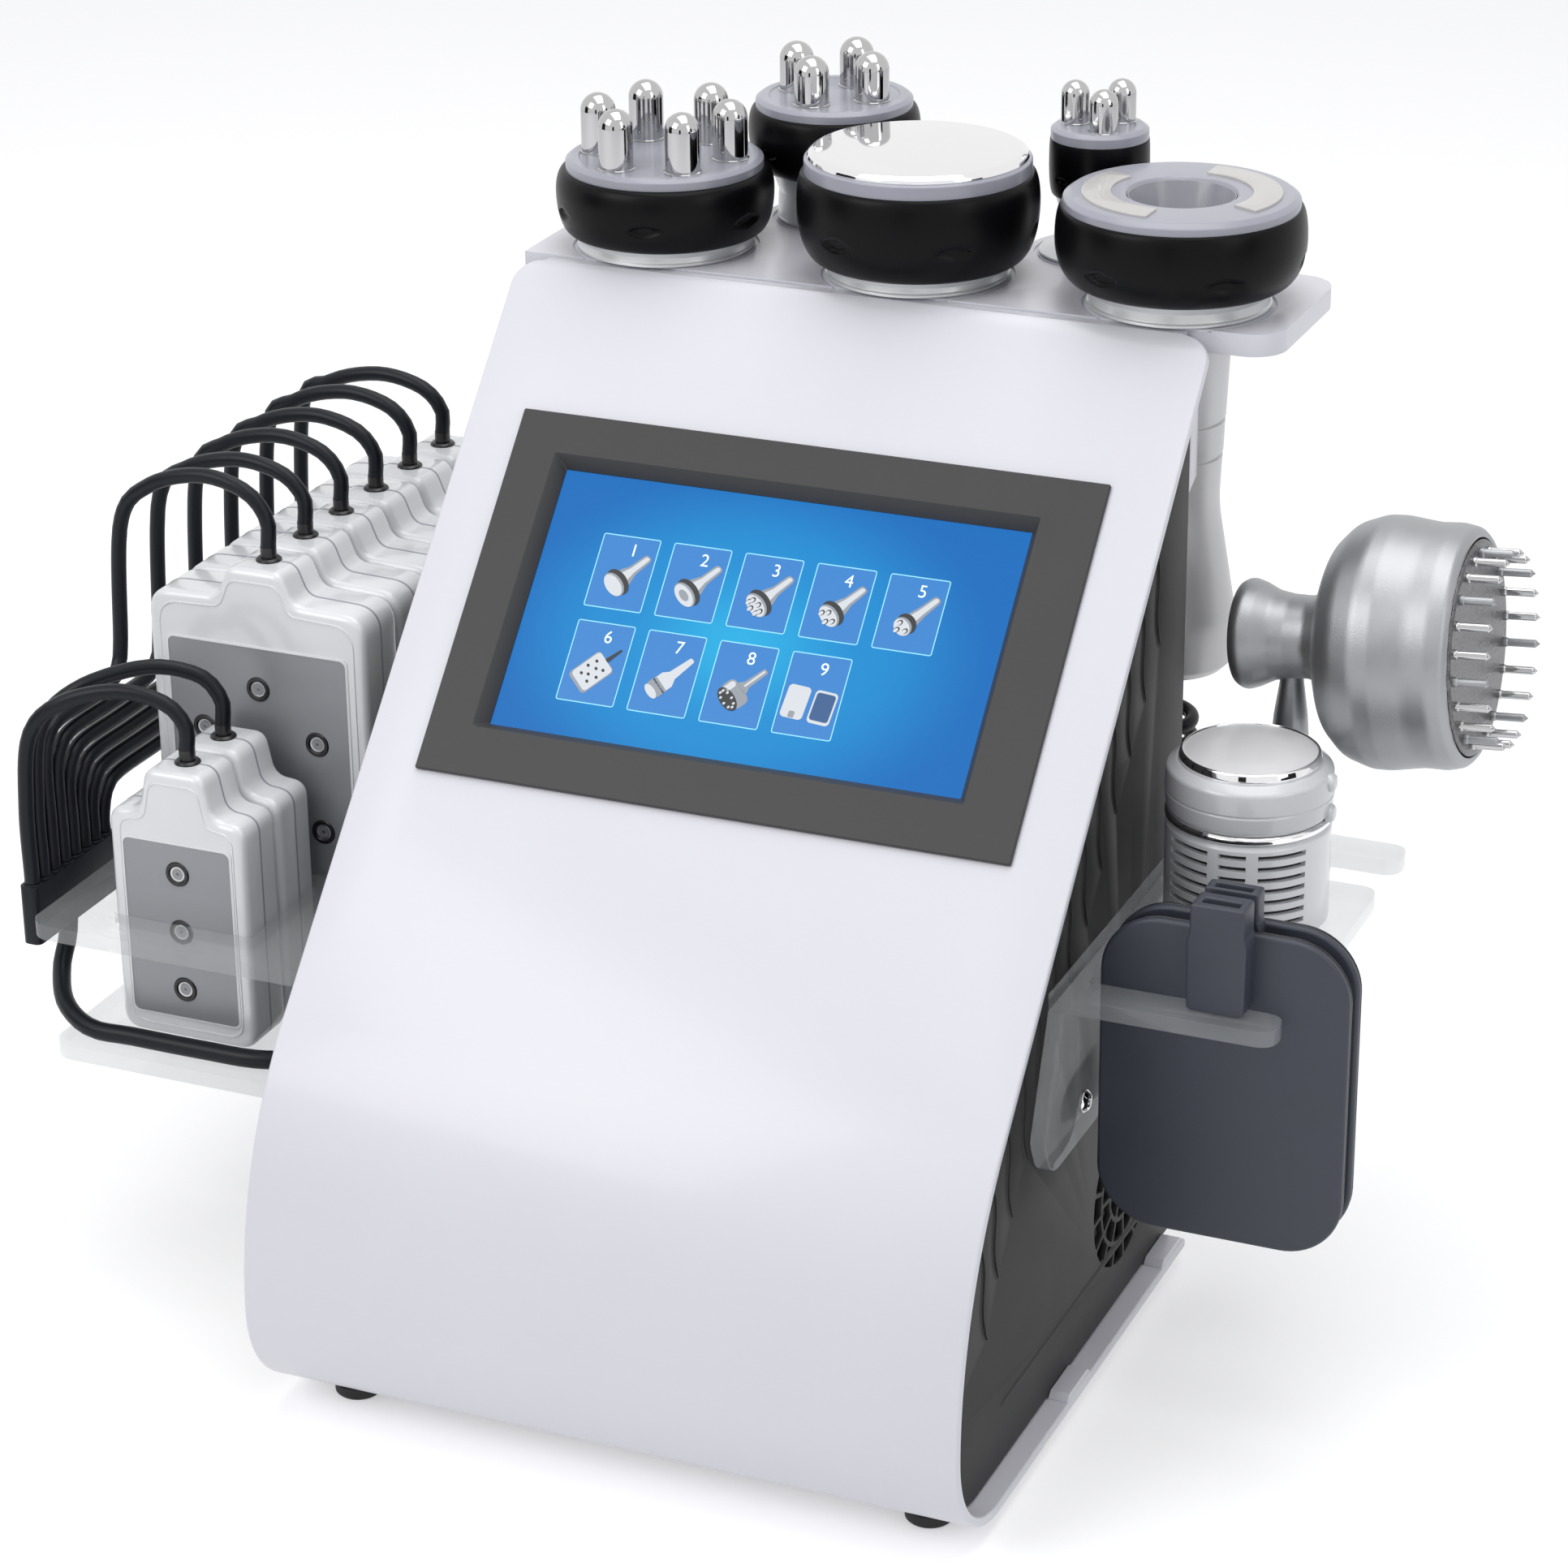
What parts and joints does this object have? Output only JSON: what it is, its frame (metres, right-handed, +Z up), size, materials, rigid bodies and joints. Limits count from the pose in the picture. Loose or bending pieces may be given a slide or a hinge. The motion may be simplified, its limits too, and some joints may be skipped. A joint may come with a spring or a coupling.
{
  "type": "cavitation slimming machine",
  "caption": "Desktop care machine with sloping screen front, hand pieces in a top tray, light pads in a left rack and tools in a right rack.",
  "frame": {"origin": "below the middle of the whole object's box, level with the undersides of the feet", "axes": "+Z up; -Y towards the user, the side of the sloping screen; +X to the user's right"},
  "size_m": [0.4481, 0.3119, 0.3696],
  "materials": {
    "enamel": "smooth white enamel",
    "side_coat": "fine matt grey-black",
    "dark_plastic": "satin dark plastic",
    "display_glass": "glossy display",
    "plated_steel": "brushed",
    "clear_acrylic": "clear, polished edges",
    "cord_black": "satin black cord",
    "black_rubber": "satin soft rubber",
    "slate_rubber": "matt slate rubber",
    "white_plastic": "glossy white",
    "pale_plastic": "pale grey gloss",
    "silver_plastic": "silver lacquer",
    "bright_chrome": "polished"
  },
  "bodies": {
    "machine": {"wrap_shell": "enamel", "side_panel_left": "side_coat", "side_panel_right": "side_coat", "rear_panel": "side_coat", "connector_plate": "plated_steel", "handle_tray": "enamel", "screen_bezel": "dark_plastic", "display_module": "display_glass", "power_supply": "plated_steel", "vacuum_pump": "dark_plastic", "fan_frame": "dark_plastic", "foot_front_left": "black_rubber", "foot_front_right": "black_rubber", "foot_rear_left": "black_rubber", "foot_rear_right": "black_rubber", "left_rack": "clear_acrylic", "right_rack": "clear_acrylic", "laser_harness": "cord_black"},
    "rocker": {"power_rocker": "dark_plastic"},
    "fan": {"fan_rotor": "dark_plastic"},
    "body_rf_piece": {"body_rf_shell": "silver_plastic", "body_rf_grip": "black_rubber", "body_rf_electrodes": "bright_chrome"},
    "cavitation_piece": {"cavitation_shell": "silver_plastic", "cavitation_grip": "black_rubber", "cavitation_disc": "bright_chrome"},
    "vacuum_piece": {"vacuum_shell": "silver_plastic", "vacuum_grip": "black_rubber", "vacuum_cup": "pale_plastic", "vacuum_cord": "cord_black"},
    "face_rf_piece": {"face_rf_shell": "silver_plastic", "face_rf_grip": "black_rubber", "face_rf_electrodes": "bright_chrome"},
    "eye_rf_piece": {"eye_rf_shell": "silver_plastic", "eye_rf_grip": "black_rubber", "eye_rf_electrodes": "bright_chrome"},
    "small_pad_1_body": {"small_pad_1": "white_plastic", "lead_small_1": "cord_black"},
    "small_pad_2_body": {"small_pad_2": "white_plastic", "lead_small_2": "cord_black"},
    "large_pad_1_body": {"large_pad_1": "white_plastic", "lead_large_1": "cord_black"},
    "large_pad_2_body": {"large_pad_2": "white_plastic", "lead_large_2": "cord_black"},
    "large_pad_3_body": {"large_pad_3": "white_plastic", "lead_large_3": "cord_black"},
    "large_pad_4_body": {"large_pad_4": "white_plastic", "lead_large_4": "cord_black"},
    "large_pad_5_body": {"large_pad_5": "white_plastic", "lead_large_5": "cord_black"},
    "large_pad_6_body": {"large_pad_6": "white_plastic", "lead_large_6": "cord_black"},
    "ems_front": {"ems_pad_front": "slate_rubber"},
    "ems_back": {"ems_pad_back": "slate_rubber"},
    "hammer": {"hammer_body": "white_plastic", "hammer_cold_head": "bright_chrome"},
    "hammer_key_1": {"hammer_button_1": "pale_plastic"},
    "hammer_key_2": {"hammer_button_2": "pale_plastic"},
    "bio": {"bio_head": "silver_plastic", "bio_needle_plate": "bright_chrome"}
  },
  "joints": [
    {"name": "rocker_tilt", "type": "hinge", "parent": "machine", "child": "rocker", "pos_m": [-0.00927, 0.04931, 0.0345], "axis": [-1, 0, 0], "range_deg": [0, 10]},
    {"name": "fan_spin", "type": "hinge", "parent": "machine", "child": "fan", "pos_m": [0.11533, 0.00511, 0.0485], "axis": [1, 0, 0], "continuous": true},
    {"name": "body_rf_lift", "type": "slide", "parent": "machine", "child": "body_rf_piece", "axis": [0, 0, 1], "range_m": [0, 0.13]},
    {"name": "cavitation_lift", "type": "slide", "parent": "machine", "child": "cavitation_piece", "axis": [0, 0, 1], "range_m": [0, 0.13]},
    {"name": "vacuum_lift", "type": "slide", "parent": "machine", "child": "vacuum_piece", "axis": [0, 0, 1], "range_m": [0, 0.13], "deforming": ["vacuum_cord"]},
    {"name": "face_rf_lift", "type": "slide", "parent": "machine", "child": "face_rf_piece", "axis": [0, 0, 1], "range_m": [0, 0.13]},
    {"name": "eye_rf_lift", "type": "slide", "parent": "machine", "child": "eye_rf_piece", "axis": [0, 0, 1], "range_m": [0, 0.13]},
    {"name": "small_pad_1_lift", "type": "slide", "parent": "machine", "child": "small_pad_1_body", "axis": [0, 0, 1], "range_m": [0, 0.06], "deforming": ["lead_small_1"]},
    {"name": "small_pad_2_lift", "type": "slide", "parent": "machine", "child": "small_pad_2_body", "axis": [0, 0, 1], "range_m": [0, 0.06], "deforming": ["lead_small_2"]},
    {"name": "large_pad_1_lift", "type": "slide", "parent": "machine", "child": "large_pad_1_body", "axis": [0, 0, 1], "range_m": [0, 0.06], "deforming": ["lead_large_1"]},
    {"name": "large_pad_2_lift", "type": "slide", "parent": "machine", "child": "large_pad_2_body", "axis": [0, 0, 1], "range_m": [0, 0.06], "deforming": ["lead_large_2"]},
    {"name": "large_pad_3_lift", "type": "slide", "parent": "machine", "child": "large_pad_3_body", "axis": [0, 0, 1], "range_m": [0, 0.06], "deforming": ["lead_large_3"]},
    {"name": "large_pad_4_lift", "type": "slide", "parent": "machine", "child": "large_pad_4_body", "axis": [0, 0, 1], "range_m": [0, 0.06], "deforming": ["lead_large_4"]},
    {"name": "large_pad_5_lift", "type": "slide", "parent": "machine", "child": "large_pad_5_body", "axis": [0, 0, 1], "range_m": [0, 0.06], "deforming": ["lead_large_5"]},
    {"name": "large_pad_6_lift", "type": "slide", "parent": "machine", "child": "large_pad_6_body", "axis": [0, 0, 1], "range_m": [0, 0.06], "deforming": ["lead_large_6"]},
    {"name": "ems_front_lift", "type": "slide", "parent": "machine", "child": "ems_front", "axis": [0, 0, 1], "range_m": [0, 0.04]},
    {"name": "ems_back_lift", "type": "slide", "parent": "machine", "child": "ems_back", "axis": [0, 0, 1], "range_m": [0, 0.04]},
    {"name": "hammer_turn", "type": "hinge", "parent": "machine", "child": "hammer", "pos_m": [0.15343, 0.00811, 0.1475], "axis": [0, 0, 1], "continuous": true},
    {"name": "hammer_key_1_press", "type": "slide", "parent": "hammer", "child": "hammer_key_1", "axis": [-1, 0, 0], "range_m": [0, 0.0009], "stiffness_N_per_m": 400},
    {"name": "hammer_key_2_press", "type": "slide", "parent": "hammer", "child": "hammer_key_2", "axis": [-1, 0, 0], "range_m": [0, 0.0009], "stiffness_N_per_m": 400},
    {"name": "bio_lift", "type": "slide", "parent": "machine", "child": "bio", "axis": [0, 0, 1], "range_m": [0, 0.03]}
  ]
}
